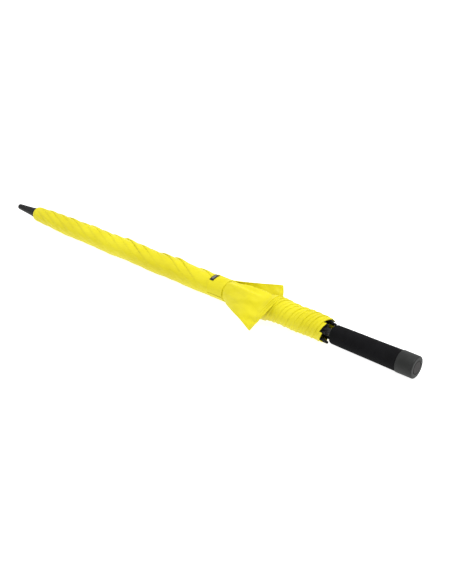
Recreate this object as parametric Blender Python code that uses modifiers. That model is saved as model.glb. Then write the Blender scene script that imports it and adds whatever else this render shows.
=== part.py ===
"""Golf umbrella with eight straight ribs, furled and lying on its side.

The shaft runs along +X, from the ferrule's tip to the handle's end. Every piece is placed in an
"umbrella frame": its local Z is the shaft's axis, counted from the ferrule's tip, and its local X
and Y are radial. ANGLES round the shaft are counted from the top towards the front (-Y).
All lengths are in metres.
"""
import math

import bmesh
import bpy
from mathutils import Matrix, Vector

# Overall sizes
LENGTH = 0.950
AXIS_HEIGHT = 0.0230
GAP = 0.0003

# Cutters stand out past what they cut. Pieces that are united overlap by a hair.
CUT_REACH = 0.02
CUT_MARGIN = 0.001
HAIR = 0.00001

# The folding frame. Rib and stretcher form an isosceles linkage, so the runner stays on the shaft.
RIB_COUNT = 8
FIRST_RIB_ANGLE = math.radians(22.5)
CROWN_PIVOT = 0.066
PIVOT_RADIUS = 0.0105
LINK = 0.320
RIB_LENGTH = 0.717
RIB_RADIUS = 0.0013
RIB_OFFSET = 0.0010
CLIP_OFFSET = 0.0040
RUNNER_PIVOT = CROWN_PIVOT + 2 * LINK
OPEN_ANGLE = math.radians(70)
RUNNER_TRAVEL = 2 * LINK * (1 - math.cos(OPEN_ANGLE))
SPLAY = math.atan((CLIP_OFFSET - RIB_OFFSET) / LINK)

# Pivots
BLADE = 0.0020
SLOT = BLADE + 2 * GAP
EYE_RADIUS = 0.0015
WIRE_RADIUS = 0.0006
WIRE_HOLE = 0.00095
RIVET_RADIUS = 0.0009
RIVET_HOLE = 0.0012

# Ribs: a blade at the crown that holds the glass-fibre stick
BLADE_INSIDE = -0.0012
BLADE_OUTSIDE = 0.0023
BLADE_END = 0.0105
STICK_START = 0.0072
STICK_END = RIB_LENGTH - 0.006
TIP_START = 0.697
TIP_RADIUS = 0.0025
TIP_BORE = RIB_RADIUS + GAP
TIP_DEPTH = 0.0145
TIP_LIP = 0.0004
TIP_LIP_END = 0.003

# Stretchers and the clips they hang from
BAR_HALF = 0.0012
CLIP_EYE_RADIUS = 0.0017
CLIP_HALF = 0.0022
CLIP_LENGTH = 0.0140
CLIP_SEAT = CLIP_OFFSET - 0.0020
CHEEK_INSIDE = -0.0018
CHEEK_LENGTH = 0.0048
RIVET_SUNK = 0.0001

# Shaft
SHAFT_RADIUS = 0.0070
SHAFT_BORE = 0.0058
SHAFT_START = 0.042
SHAFT_END = 0.900
BORE_RADIUS = SHAFT_RADIUS + GAP

# Ferrule and crown
FERRULE_TIP_RADIUS = 0.0056
FERRULE_BASE_RADIUS = 0.0092
FERRULE_COLLAR_RADIUS = 0.0100
FERRULE_COLLAR = 0.048
FERRULE_END = 0.054
WASHER_START = 0.0544
WASHER_END = 0.0564
WASHER_RADIUS = 0.0115
CROWN_START = 0.0575
CROWN_END = 0.0715
CROWN_RADIUS = 0.0130
CROWN_RIVET = 0.0600
CROWN_NOTCH_START = CROWN_PIVOT - 0.0028
NOTCH_FLOOR = 0.0088

# Runner and its catch
RUNNER_START = 0.7010
RUNNER_FLANGE_END = 0.7095
RUNNER_SLEEVE_RADIUS = 0.0104
RUNNER_NOTCH_END = RUNNER_PIVOT + 0.0019
RUNNER_CHAMFER = 0.0020
RUNNER_RING_START = 0.7520
RUNNER_END = 0.7600
KEYWAY_FLOOR = 0.0050
KEYWAY_WIDTH = 0.0042
KEYWAY_TOP = 0.0097
KEYWAY_WEB = 0.0060
CATCH_WIDTH = 0.0030
CATCH_LENGTH = 0.0070
CATCH_START = RUNNER_END - RUNNER_TRAVEL + 0.0004
CATCH_TOP = 0.0093
CATCH_FOOT = 0.0045
CATCH_STEP = 0.0015
WINDOW_FLOOR = 0.0040
WINDOW_TOP = 0.0090
SPRING_LEAF = 0.0005
SPRING_MIDDLE = CATCH_START + 0.0030
SPRING_HALF = 0.0020
SPRING_BEND = CATCH_START + 0.0260
SPRING_TAIL = CATCH_START + 0.0460
SPRING_FLOOR = -0.0046
SPRING_RISE = 0.0010

# Handle
GRIP_START = 0.788
CAP_START = 0.9186
GRIP_START_RADIUS = 0.0170
GRIP_END_RADIUS = 0.0190
GRIP_ROUNDING = 0.0045
CORE_RADIUS = 0.0120
CORE_START = GRIP_START + 0.0020
CORE_SEAT = CAP_START + 0.0006
CORE_END = LENGTH - 0.0035
CAP_RADIUS = 0.01975
CAP_WALL = 0.0025
CAP_ROUNDING = 0.0025
DISC_RADIUS = 0.0110
DISC_THICKNESS = 0.0011

# Canopy: furled fabric as a ring of eight sectors, with its inner and outer radius along the shaft
CANOPY_OUTLINE = (
    (0.0573, 0.0133, 0.0142),
    (0.0620, 0.0133, 0.0155),
    (0.0800, 0.0134, 0.0168),
    (0.1300, 0.0139, 0.0183),
    (0.2500, 0.0150, 0.0195),
    (0.3720, 0.0161, 0.0198),
    (0.3770, 0.0171, 0.0198),
    (0.3950, 0.0171, 0.0199),
    (0.4000, 0.0164, 0.0199),
    (0.5300, 0.0175, 0.0199),
    (0.5600, 0.0179, 0.0212),
    (0.6000, 0.0183, 0.0226),
    (0.6400, 0.0187, 0.0230),
    (0.7000, 0.0192, 0.0224),
    (0.7610, 0.0198, 0.0212),
)
CANOPY_STEPS = 24
CANOPY_CUT = 0.1
PANEL_GAP = 0.0002

# The two loose corners of the furled canopy. Each corner is (s, y, z), with y and z from the axis.
FLAP_THICKNESS = 0.0030
FLAP_ROOT_RADIUS = 0.0236
FLAP_ROOT = (0.548, 0.700)
FLAP_BLUNT = 0.0040
FRONT_FLAP_ANGLE = math.radians(90)
FRONT_FLAP_CORNER = (0.659, -0.0620, -0.0148)
BACK_FLAP_ANGLE = math.radians(-60)
BACK_FLAP_CORNER = (0.637, 0.0620, 0.0116)

# Strap: the sewn half, the free tail over it and the label on the tail
STRAP_START = 0.5100
STRAP_WIDTH = 0.0260
STRAP_THICKNESS = 0.0006
STRAP_RADIUS = 0.02055
STRAP_ANGLES = (105, 330)
TAIL_RADIUS = 0.02150
TAIL_ANGLES = (-55, 98)
LABEL_RADIUS = 0.02240
LABEL_WIDTH = 0.0075
LABEL_ANGLES = (2, 50)

PARTS = "golf_umbrella"


def clear_scene():
    for thing in list(bpy.data.objects):
        bpy.data.objects.remove(thing, do_unlink=True)


def material(name, colour, roughness, metallic=0.0):
    made = bpy.data.materials.new(name)
    made.use_nodes = True
    shader = made.node_tree.nodes["Principled BSDF"]
    shader.inputs["Base Color"].default_value = (*colour, 1)
    shader.inputs["Roughness"].default_value = roughness
    shader.inputs["Metallic"].default_value = metallic
    return made


def empty(name, parent=None, matrix=None):
    made = bpy.data.objects.new(name, None)
    bpy.context.scene.collection.objects.link(made)
    made.parent = parent
    made.matrix_local = matrix or Matrix.Identity(4)
    return made


def piece(name, mesh, finish, parent, matrix=None):
    """A named part of the umbrella, placed in its parent's frame."""
    made = bpy.data.objects.new(name, mesh)
    bpy.data.collections[PARTS].objects.link(made)
    made.parent = parent
    made.matrix_local = matrix or Matrix.Identity(4)
    if finish.name not in mesh.materials:
        mesh.materials.append(finish)
    return made


def evaluated_mesh(thing):
    """The object's mesh with its modifiers applied. The object itself is removed."""
    bpy.context.view_layer.update()
    graph = bpy.context.evaluated_depsgraph_get()
    mesh = bpy.data.meshes.new_from_object(thing.evaluated_get(graph))
    bpy.data.objects.remove(thing, do_unlink=True)
    return mesh


def helper(mesh):
    """A short-lived object, for building a mesh with modifiers."""
    made = bpy.data.objects.new("helper", mesh)
    bpy.context.scene.collection.objects.link(made)
    return made


def screw(thing, steps, angle=math.tau):
    turn = thing.modifiers.new("turn", "SCREW")
    turn.axis = "Z"
    turn.angle = angle
    turn.steps = turn.render_steps = steps
    turn.use_merge_vertices = angle == math.tau
    turn.merge_threshold = 0.00001
    return turn


def profile_mesh(points, closed):
    """Edges through (radius, height) points. Outer sides run down, from high to low."""
    mesh = bpy.data.meshes.new("profile")
    edges = [(k, k + 1) for k in range(len(points) - 1)]
    if closed:
        edges.append((len(points) - 1, 0))
    mesh.from_pydata([(radius, 0, height) for radius, height in points], edges, [])
    return mesh


def turned(points, steps=32, closed=True):
    """A solid of revolution about Z."""
    thing = helper(profile_mesh(points, closed))
    screw(thing, steps)
    mesh = evaluated_mesh(thing)
    mesh.shade_smooth()
    mesh.set_sharp_from_angle(angle=math.radians(35))
    return mesh


def tube(low, high, inner, outer, steps=32):
    return turned([(outer, high), (outer, low), (inner, low), (inner, high)], steps)


def arc(centre, radius, start, end, count):
    """Points on an arc in the profile's plane, angles from the radial direction."""
    angles = [start + (end - start) * k / count for k in range(count + 1)]
    return [(centre[0] + radius * math.cos(a), centre[1] + radius * math.sin(a)) for a in angles]


def box(low, high, turn=None):
    bm = bmesh.new()
    size = Vector(high) - Vector(low)
    place = Matrix.Translation((Vector(high) + Vector(low)) / 2) @ Matrix.Diagonal((*size, 1))
    bmesh.ops.create_cube(bm, size=1, matrix=(turn or Matrix.Identity(4)) @ place)
    mesh = bpy.data.meshes.new("box")
    bm.to_mesh(mesh)
    bm.free()
    return mesh


def rod(radius, low, high, centre=(0, 0), axis="Z", segments=10):
    """A cylinder along Z, or along Y at (x, z) = centre."""
    bm = bmesh.new()
    middle = (low + high) / 2
    if axis == "Z":
        place = Matrix.Translation((centre[0], centre[1], middle))
    else:
        place = Matrix.Translation((centre[0], middle, centre[1])) @ Matrix.Rotation(math.pi / 2, 4, "X")
    bmesh.ops.create_cone(bm, cap_ends=True, segments=segments, radius1=radius, radius2=radius,
                          depth=high - low, matrix=place)
    mesh = bpy.data.meshes.new("rod")
    bm.to_mesh(mesh)
    bm.free()
    return mesh


def joined(base, *steps):
    """The base mesh with ("UNION" or "DIFFERENCE", mesh) steps done in order."""
    thing = helper(base)
    others = []
    for operation, mesh in steps:
        other = helper(mesh)
        step = thing.modifiers.new("step", "BOOLEAN")
        step.operation = operation
        step.object = other
        others.append(other)
    mesh = evaluated_mesh(thing)
    for other in others:
        bpy.data.objects.remove(other, do_unlink=True)
    return mesh


def around(mesh, count, first=0.0):
    """Copies of a mesh round Z, in one mesh, as a cutter."""
    bm = bmesh.new()
    for k in range(count):
        copy = mesh.copy()
        copy.transform(Matrix.Rotation(first + math.tau * k / count, 4, "Z"))
        bm.from_mesh(copy)
    made = bpy.data.meshes.new("copies")
    bm.to_mesh(made)
    bm.free()
    return made


def plate(outline, thickness, transform=None):
    """A flat outline in XY, given its thickness along Z."""
    curve = bpy.data.curves.new("outline", "CURVE")
    curve.dimensions = "2D"
    curve.fill_mode = "BOTH"
    curve.extrude = thickness / 2
    line = curve.splines.new("POLY")
    line.points.add(len(outline) - 1)
    for point, (x, y) in zip(line.points, outline):
        point.co = (x, y, 0, 1)
    line.use_cyclic_u = True
    thing = bpy.data.objects.new("outline", curve)
    bpy.context.scene.collection.objects.link(thing)
    mesh = evaluated_mesh(thing)
    bm = bmesh.new()
    bm.from_mesh(mesh)
    bmesh.ops.remove_doubles(bm, verts=bm.verts, dist=0.00001)
    bmesh.ops.recalc_face_normals(bm, faces=bm.faces)
    bm.to_mesh(mesh)
    bm.free()
    mesh.transform(transform or Matrix.Identity(4))
    return mesh


def band(radius, start_angle, end_angle, low, width, thickness, steps):
    """A strip of webbing bent round Z: an open arc with Solidify."""
    thing = helper(profile_mesh([(radius, low + width), (radius, low)], False))
    screw(thing, steps, end_angle - start_angle)
    shell = thing.modifiers.new("thickness", "SOLIDIFY")
    shell.thickness = thickness
    shell.offset = 0
    mesh = evaluated_mesh(thing)
    mesh.transform(Matrix.Rotation(start_angle, 4, "Z"))
    mesh.shade_smooth()
    mesh.set_sharp_from_angle(angle=math.radians(35))
    return mesh


def round_axis(angle):
    """Turns the umbrella frame so that local X points out at an angle counted from the top."""
    return Matrix.Rotation(math.pi + angle, 4, "Z")


def notched(mesh, low, high, groove_centre):
    """Eight slots for the blades of ribs or stretchers, and the room their ring wire needs."""
    slot = box((NOTCH_FLOOR, -SLOT / 2, low), (CUT_REACH, SLOT / 2, high))
    slots = around(slot, RIB_COUNT, FIRST_RIB_ANGLE)
    groove = tube(groove_centre - RIVET_RADIUS, groove_centre + RIVET_RADIUS,
                  PIVOT_RADIUS - RIVET_RADIUS, CUT_REACH)
    return joined(mesh, ("DIFFERENCE", groove), ("DIFFERENCE", slots))


def ring_wire(height):
    """The wire ring that the blades turn on."""
    section = arc((PIVOT_RADIUS, height), WIRE_RADIUS, math.pi / 2, -math.pi * 1.5, 6)[:-1]
    return turned(section, 32)


def build_shaft(axis, paint):
    half = CATCH_WIDTH / 2 + GAP
    window = box((WINDOW_FLOOR, -half, CATCH_START - GAP),
                 (WINDOW_TOP, half, CATCH_START + CATCH_LENGTH + GAP), round_axis(0))
    rivet_hole = rod(RIVET_HOLE, -CUT_REACH, CUT_REACH, (0, CROWN_RIVET), "Y")
    shaft = joined(tube(SHAFT_START, SHAFT_END, SHAFT_BORE, SHAFT_RADIUS, 24),
                   ("DIFFERENCE", window), ("DIFFERENCE", rivet_hole))
    piece("shaft_tube", shaft, paint["graphite"], axis)


def build_ferrule(axis, paint):
    dome = arc((0, FERRULE_TIP_RADIUS), FERRULE_TIP_RADIUS, -math.pi / 2, 0, 5)
    side = [(FERRULE_BASE_RADIUS, FERRULE_COLLAR), (FERRULE_COLLAR_RADIUS, FERRULE_COLLAR),
            (FERRULE_COLLAR_RADIUS, FERRULE_END), (BORE_RADIUS, FERRULE_END),
            (BORE_RADIUS, SHAFT_START - GAP), (0, SHAFT_START - GAP)]
    dome[0] = (0, dome[0][1])
    outline = list(reversed(dome + side))
    piece("ferrule", turned(outline, 28, closed=False), paint["black_plastic"], axis)
    washer = tube(WASHER_START, WASHER_END, BORE_RADIUS, WASHER_RADIUS, 24)
    piece("canopy_washer", washer, paint["black_plastic"], axis)


def build_crown(axis, paint):
    body = tube(CROWN_START, CROWN_END, BORE_RADIUS, CROWN_RADIUS)
    body = notched(body, CROWN_NOTCH_START, CROWN_END + CUT_MARGIN, CROWN_PIVOT)
    rivet_hole = rod(RIVET_HOLE, -CUT_REACH, CUT_REACH, (0, CROWN_RIVET), "Y")
    piece("crown", joined(body, ("DIFFERENCE", rivet_hole)), paint["black_plastic"], axis)
    piece("crown_ring_wire", ring_wire(CROWN_PIVOT), paint["steel"], axis)
    half = CROWN_RADIUS - GAP
    piece("crown_rivet", rod(RIVET_RADIUS, -half, half, (0, CROWN_RIVET), "Y"), paint["steel"], axis)


def build_runner(axis, paint):
    body = turned([(CROWN_RADIUS, RUNNER_END), (CROWN_RADIUS, RUNNER_RING_START),
                   (RUNNER_SLEEVE_RADIUS, RUNNER_RING_START - RUNNER_CHAMFER),
                   (RUNNER_SLEEVE_RADIUS, RUNNER_FLANGE_END),
                   (CROWN_RADIUS, RUNNER_FLANGE_END), (CROWN_RADIUS, RUNNER_START),
                   (BORE_RADIUS, RUNNER_START), (BORE_RADIUS, RUNNER_END)])
    body = notched(body, RUNNER_START - CUT_MARGIN, RUNNER_NOTCH_END, RUNNER_PIVOT)
    keyway = box((KEYWAY_FLOOR, -KEYWAY_WIDTH / 2, RUNNER_START - CUT_MARGIN),
                 (KEYWAY_TOP, KEYWAY_WIDTH / 2, RUNNER_END - KEYWAY_WEB), round_axis(0))
    piece("runner", joined(body, ("DIFFERENCE", keyway)), paint["black_plastic"], axis)
    piece("runner_ring_wire", ring_wire(RUNNER_PIVOT), paint["steel"], axis)


def build_catch(axis, paint):
    """A sprung wedge in the shaft's window, with a square step that holds the runner up."""
    upright = Matrix.Rotation(math.pi / 2, 4, "X")
    end = CATCH_START + CATCH_LENGTH
    wedge = [(CATCH_FOOT, CATCH_START), (CATCH_TOP, CATCH_START), (CATCH_TOP, CATCH_START + CATCH_STEP),
             (SHAFT_RADIUS + GAP, end), (CATCH_FOOT, end)]
    piece("top_catch", plate(wedge, CATCH_WIDTH, upright), paint["steel"], axis, round_axis(0))
    top = CATCH_FOOT - GAP
    low = SPRING_FLOOR + SPRING_RISE
    start, stop = SPRING_MIDDLE - SPRING_HALF, SPRING_MIDDLE + SPRING_HALF
    leaf = [(top, start), (top, stop), (low, SPRING_BEND), (SPRING_FLOOR, SPRING_TAIL),
            (SPRING_FLOOR - SPRING_LEAF, SPRING_TAIL), (low - SPRING_LEAF, SPRING_BEND - SPRING_RISE),
            (top - SPRING_LEAF, stop - SPRING_LEAF), (top - SPRING_LEAF, start)]
    piece("catch_spring", plate(leaf, CATCH_WIDTH, upright), paint["steel"], axis, round_axis(0))


def on_stick(mesh):
    """Moves a mesh from Z to the stick's own line, which starts off the hinge and leans out by SPLAY."""
    mesh.transform(Matrix.Translation((RIB_OFFSET, 0, 0)) @ Matrix.Rotation(SPLAY, 4, "Y"))
    return mesh


def rib_mesh():
    """A glass-fibre rod, tilted out by SPLAY, with a steel blade and eye at the crown."""
    half = BLADE / 2
    eye = rod(EYE_RADIUS, -half, half, (0, 0), "Y")
    blade = box((BLADE_INSIDE, HAIR - half, 0), (BLADE_OUTSIDE, half - HAIR, BLADE_END))
    stick = on_stick(rod(RIB_RADIUS, STICK_START, STICK_END))
    hole = rod(WIRE_HOLE, -BLADE, BLADE, (0, 0), "Y")
    return joined(eye, ("UNION", blade), ("UNION", stick), ("DIFFERENCE", hole))


def stretcher_mesh():
    """A flat bar with an eye at each end, from the rib's clip to the runner."""
    half = BLADE / 2
    bar = box((-BAR_HALF, HAIR - half, LINK), (BAR_HALF, half - HAIR, 2 * LINK))
    runner_eye = rod(EYE_RADIUS, -half, half, (0, 2 * LINK), "Y")
    clip_eye = rod(CLIP_EYE_RADIUS, -half, half, (0, LINK), "Y")
    runner_hole = rod(WIRE_HOLE, -BLADE, BLADE, (0, 2 * LINK), "Y")
    clip_hole = rod(RIVET_HOLE, -BLADE, BLADE, (0, LINK), "Y")
    return joined(bar, ("UNION", runner_eye), ("UNION", clip_eye),
                  ("DIFFERENCE", runner_hole), ("DIFFERENCE", clip_hole))


def clip_mesh():
    """A collar on the rib with two cheeks and a rivet, which the stretcher hangs from."""
    inside = SLOT / 2
    half = CLIP_LENGTH / 2
    cheek = CHEEK_LENGTH / 2
    collar = box((CLIP_SEAT, -CLIP_HALF, LINK - half), (CLIP_OFFSET + CLIP_HALF, CLIP_HALF, LINK + half))
    cheeks = box((CHEEK_INSIDE, -CLIP_HALF, LINK - cheek), (CLIP_OFFSET, CLIP_HALF, LINK + cheek))
    slot = box((CHEEK_INSIDE - CUT_MARGIN, -inside, LINK - CLIP_LENGTH),
               (CLIP_SEAT - RIVET_SUNK, inside, LINK + CLIP_LENGTH))
    bore = on_stick(rod(RIB_RADIUS + GAP, LINK - CUT_REACH, LINK + CUT_REACH))
    rivet_half = CLIP_HALF - RIVET_SUNK
    rivet = rod(RIVET_RADIUS, -rivet_half, rivet_half, (0, LINK), "Y")
    return joined(collar, ("UNION", cheeks), ("DIFFERENCE", slot), ("DIFFERENCE", bore), ("UNION", rivet))


def tip_mesh():
    """A round-nosed cap over the rib's end."""
    length = RIB_LENGTH - TIP_START
    nose = arc((0, length - TIP_RADIUS), TIP_RADIUS, math.pi / 2, 0, 4)
    nose[0] = (0, length)
    outline = nose + [(TIP_RADIUS, TIP_LIP_END), (TIP_RADIUS - TIP_LIP, 0), (TIP_BORE, 0),
                      (TIP_BORE, TIP_DEPTH), (0, TIP_DEPTH)]
    mesh = turned(outline, 12, closed=False)
    mesh.transform(Matrix.Translation((0, 0, TIP_START)))
    return on_stick(mesh)


def rib_angle(number):
    return FIRST_RIB_ANGLE + math.tau * (number - 1) / RIB_COUNT


def build_ribs(axis, paint):
    kinds = (("rib", rib_mesh(), "graphite"), ("rib_tip", tip_mesh(), "black_plastic"),
             ("rib_clip", clip_mesh(), "black_plastic"), ("stretcher", stretcher_mesh(), "steel"))
    for number in range(1, RIB_COUNT + 1):
        out = Matrix.Translation((PIVOT_RADIUS, 0, CROWN_PIVOT))
        hinge = empty(f"rib_pivot_{number}", axis, round_axis(rib_angle(number)) @ out)
        for kind, mesh, finish in kinds:
            piece(f"{kind}_{number}", mesh, paint[finish], hinge)


def panel_mesh():
    """One eighth of the furled canopy, cut from a turned ring along two radial planes."""
    outer = [(high, s) for s, _, high in reversed(CANOPY_OUTLINE)]
    inner = [(low, s) for s, low, _ in CANOPY_OUTLINE]
    ring = turned(outer + inner, CANOPY_STEPS)
    cutters = []
    for side in (1, -1):
        near, far = sorted((-side * PANEL_GAP, side * CANOPY_CUT))
        turn = Matrix.Rotation(side * math.pi / RIB_COUNT, 4, "Z")
        cutters.append(("DIFFERENCE", box((-CANOPY_CUT, near, 0), (CANOPY_CUT, far, LENGTH), turn)))
    return joined(ring, *cutters)


def build_canopy(axis, paint):
    """Panel k lies between rib k and rib k + 1."""
    mesh = panel_mesh()
    for number in range(1, RIB_COUNT + 1):
        middle = rib_angle(number) + math.pi / RIB_COUNT
        piece(f"canopy_panel_{number}", mesh, paint["yellow_fabric"], axis, round_axis(middle))


def build_flap(name, root_angle, corner, paint):
    """A loose corner of the furled canopy, as a flat three-cornered plate."""
    middle, side, height = corner
    root = Vector((0, -math.sin(root_angle), math.cos(root_angle))) * FLAP_ROOT_RADIUS
    out = Vector((0, side, height)) - root
    along = Vector((1, 0, 0))
    across = out.normalized()
    place = Matrix.Identity(4)
    for column, direction in enumerate((along, across, along.cross(across))):
        place.col[column] = (*direction, 0)
    place.col[3] = (middle - LENGTH / 2, root.y, AXIS_HEIGHT + root.z, 1)
    start, end = (s - middle for s in FLAP_ROOT)
    outline = [(start, 0), (end, 0), (FLAP_BLUNT, out.length), (-FLAP_BLUNT, out.length)]
    piece(name, plate(outline, FLAP_THICKNESS), paint["yellow_fabric"], None, place)


def build_flaps(paint):
    build_flap("canopy_flap_front", FRONT_FLAP_ANGLE, FRONT_FLAP_CORNER, paint)
    build_flap("canopy_flap_back", BACK_FLAP_ANGLE, BACK_FLAP_CORNER, paint)


def build_strap(axis, paint):
    """The sewn half goes round the back and the bottom, and the free tail laps over the top."""
    turns = (
        ("strap", STRAP_RADIUS, STRAP_ANGLES, STRAP_WIDTH, 24, "yellow_webbing"),
        ("strap_tail", TAIL_RADIUS, TAIL_ANGLES, STRAP_WIDTH, 18, "yellow_webbing"),
        ("strap_label", LABEL_RADIUS, LABEL_ANGLES, LABEL_WIDTH, 6, "black_label"),
    )
    for name, radius, angles, width, steps, finish in turns:
        start, end = (math.radians(angle) for angle in angles)
        mesh = band(radius, start, end, STRAP_START, width, STRAP_THICKNESS, steps)
        piece(name, mesh, paint[finish], axis, round_axis(0))


def build_core(axis, paint):
    """The plug between shaft and grip, with a flange that carries the end cap."""
    flange = CAP_RADIUS - CAP_WALL - GAP
    outline = [(0, CORE_END), (flange, CORE_END), (flange, CORE_SEAT), (CORE_RADIUS, CORE_SEAT),
               (CORE_RADIUS, CORE_START), (BORE_RADIUS, CORE_START),
               (BORE_RADIUS, SHAFT_END + GAP), (0, SHAFT_END + GAP)]
    piece("handle_core", turned(outline, 32, closed=False), paint["black_plastic"], axis)


def build_grip(axis, paint):
    centre = (GRIP_START_RADIUS - GRIP_ROUNDING, GRIP_START + GRIP_ROUNDING)
    rounding = arc(centre, GRIP_ROUNDING, 0, -math.pi / 2, 5)
    outline = [(GRIP_END_RADIUS, CAP_START - GAP), *rounding,
               (CORE_RADIUS + GAP, GRIP_START), (CORE_RADIUS + GAP, CAP_START - GAP)]
    piece("foam_grip", turned(outline, 36), paint["black_foam"], axis)


def build_cap(axis, paint):
    """The end cap, closed by a flat disc let into its end."""
    edge = arc((CAP_RADIUS - CAP_ROUNDING, LENGTH - CAP_ROUNDING), CAP_ROUNDING, math.pi / 2, 0, 4)
    inside = CAP_RADIUS - CAP_WALL
    recess = LENGTH - DISC_THICKNESS - GAP
    outline = [(0, recess), (DISC_RADIUS + GAP, recess), (DISC_RADIUS + GAP, LENGTH), *edge,
               (CAP_RADIUS, CAP_START), (inside, CAP_START), (inside, CORE_END + GAP), (0, CORE_END + GAP)]
    piece("end_cap", turned(outline, 36, closed=False), paint["black_plastic"], axis)
    face = LENGTH - DISC_THICKNESS
    disc = turned([(0, LENGTH), (DISC_RADIUS, LENGTH), (DISC_RADIUS, face), (0, face)], 32, closed=False)
    piece("end_disc", disc, paint["dark_metal"], axis)


def build():
    clear_scene()
    parts = bpy.data.collections.new(PARTS)
    bpy.context.scene.collection.children.link(parts)
    paint = {
        "yellow_fabric": material("yellow_fabric", (0.85, 0.80, 0.02), 0.6),
        "yellow_webbing": material("yellow_webbing", (0.80, 0.74, 0.02), 0.7),
        "black_label": material("black_label", (0.02, 0.02, 0.02), 0.6),
        "black_plastic": material("black_plastic", (0.02, 0.02, 0.02), 0.35),
        "black_foam": material("black_foam", (0.015, 0.015, 0.015), 0.85),
        "graphite": material("graphite", (0.03, 0.03, 0.035), 0.3),
        "steel": material("steel", (0.5, 0.5, 0.5), 0.3, 1.0),
        "dark_metal": material("dark_metal", (0.12, 0.12, 0.13), 0.3, 0.8),
    }
    along_x = Matrix.Translation((-LENGTH / 2, 0, AXIS_HEIGHT)) @ Matrix.Rotation(math.pi / 2, 4, "Y")
    axis = empty("umbrella_axis", None, along_x)
    build_shaft(axis, paint)
    build_ferrule(axis, paint)
    build_crown(axis, paint)
    build_runner(axis, paint)
    build_catch(axis, paint)
    build_ribs(axis, paint)
    build_canopy(axis, paint)
    build_flaps(paint)
    build_strap(axis, paint)
    build_core(axis, paint)
    build_grip(axis, paint)
    build_cap(axis, paint)


build()
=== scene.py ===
"""Looks of the golf umbrella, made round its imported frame: furled cloth, strap, handle and materials.

A place on the umbrella is given by s, its distance from the ferrule's tip along the shaft, by r, its
distance from the shaft's axis, and by an angle counted from the top (+Z) towards the front (-Y).
Each of the eight panels is folded double, and its flap is rolled round the bundle: flap number i
starts at rib i, climbs outwards, and lies over flap i + 1. All lengths are in metres.
"""
import math

import bmesh
import bpy
import numpy as np
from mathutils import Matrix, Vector

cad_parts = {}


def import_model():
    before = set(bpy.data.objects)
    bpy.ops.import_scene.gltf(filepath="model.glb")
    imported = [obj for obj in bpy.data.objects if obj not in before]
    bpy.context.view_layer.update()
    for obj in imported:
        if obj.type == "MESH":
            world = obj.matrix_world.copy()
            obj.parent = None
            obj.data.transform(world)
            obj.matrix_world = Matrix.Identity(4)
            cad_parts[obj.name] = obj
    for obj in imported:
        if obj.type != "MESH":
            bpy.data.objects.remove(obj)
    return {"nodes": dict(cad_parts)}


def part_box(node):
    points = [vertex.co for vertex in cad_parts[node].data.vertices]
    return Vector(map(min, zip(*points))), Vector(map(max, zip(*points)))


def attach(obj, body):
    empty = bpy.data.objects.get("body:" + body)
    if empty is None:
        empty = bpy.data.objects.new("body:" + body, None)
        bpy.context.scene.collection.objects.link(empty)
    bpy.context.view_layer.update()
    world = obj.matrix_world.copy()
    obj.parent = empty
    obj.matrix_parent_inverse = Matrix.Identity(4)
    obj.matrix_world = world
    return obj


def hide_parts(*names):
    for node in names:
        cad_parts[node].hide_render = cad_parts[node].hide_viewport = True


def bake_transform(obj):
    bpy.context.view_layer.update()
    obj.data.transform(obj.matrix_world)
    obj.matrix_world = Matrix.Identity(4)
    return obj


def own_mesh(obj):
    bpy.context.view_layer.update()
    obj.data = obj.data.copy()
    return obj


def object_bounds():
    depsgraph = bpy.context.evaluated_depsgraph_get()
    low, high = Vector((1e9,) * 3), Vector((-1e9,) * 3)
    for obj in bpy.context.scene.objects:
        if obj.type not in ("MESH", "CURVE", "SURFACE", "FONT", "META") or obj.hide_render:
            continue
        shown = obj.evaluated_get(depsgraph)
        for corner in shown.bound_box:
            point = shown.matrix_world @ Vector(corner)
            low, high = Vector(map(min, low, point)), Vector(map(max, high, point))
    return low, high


# The CAD's ribs: their number, the hinges' place, how far out their middles start and how they spread
RIB_COUNT = 8
SECTOR = 2 * math.pi / RIB_COUNT
FIRST_RIB_ANGLE = SECTOR / 2
CROWN_PIVOT = 0.066
RIB_ROOT_RADIUS = 0.0115
RIB_SPLAY = 0.003 / 0.320
RIB_RADIUS = 0.0013
CLIP_PLACE = 0.386

# The furled roll: the inner and outer radius of the cloth along the shaft
ROLL_START = 0.0625
ROLL_OUTLINE = (
    (0.0625, 0.01455, 0.0150),
    (0.0800, 0.0134, 0.0163),
    (0.1300, 0.0139, 0.0182),
    (0.2500, 0.0150, 0.0193),
    (0.3720, 0.0161, 0.0200),
    (0.4600, 0.0169, 0.0207),
    (0.5100, 0.0173, 0.0203),
    (0.5250, 0.0175, 0.0199),
    (0.5620, 0.0179, 0.0199),
    (0.5690, 0.0180, 0.0211),
    (0.5850, 0.0182, 0.0212),
    (0.6200, 0.0186, 0.0226),
    (0.6450, 0.0188, 0.0232),
    (0.7000, 0.0195, 0.0238),
    (0.7550, 0.0209, 0.0244),
    (0.7795, 0.0213, 0.0248),
)
# Where the furled cloth's hem ends, and where the gathered cloth inside the roll ends at the ribs
HEM_END = 0.7795
WEB_END = 0.7625
# The winding: gap between plies, wrap at the start, length of shaft for one turn, end of the tight roll
PLY_GAP = 0.00008
FIRST_WRAP = math.radians(50)
WRAP_PITCH = 0.25175
TIGHT_END = 0.5660
# The mesh of a ply: its fine part near the fold, and its columns
FINE_WIDTH = math.radians(60)
COARSE_COLUMNS = 84
FINE_COLUMNS = 30
WEB_ROWS = 90
WEB_COLUMNS = 32
FLOOR_GAP = 0.0004

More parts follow.
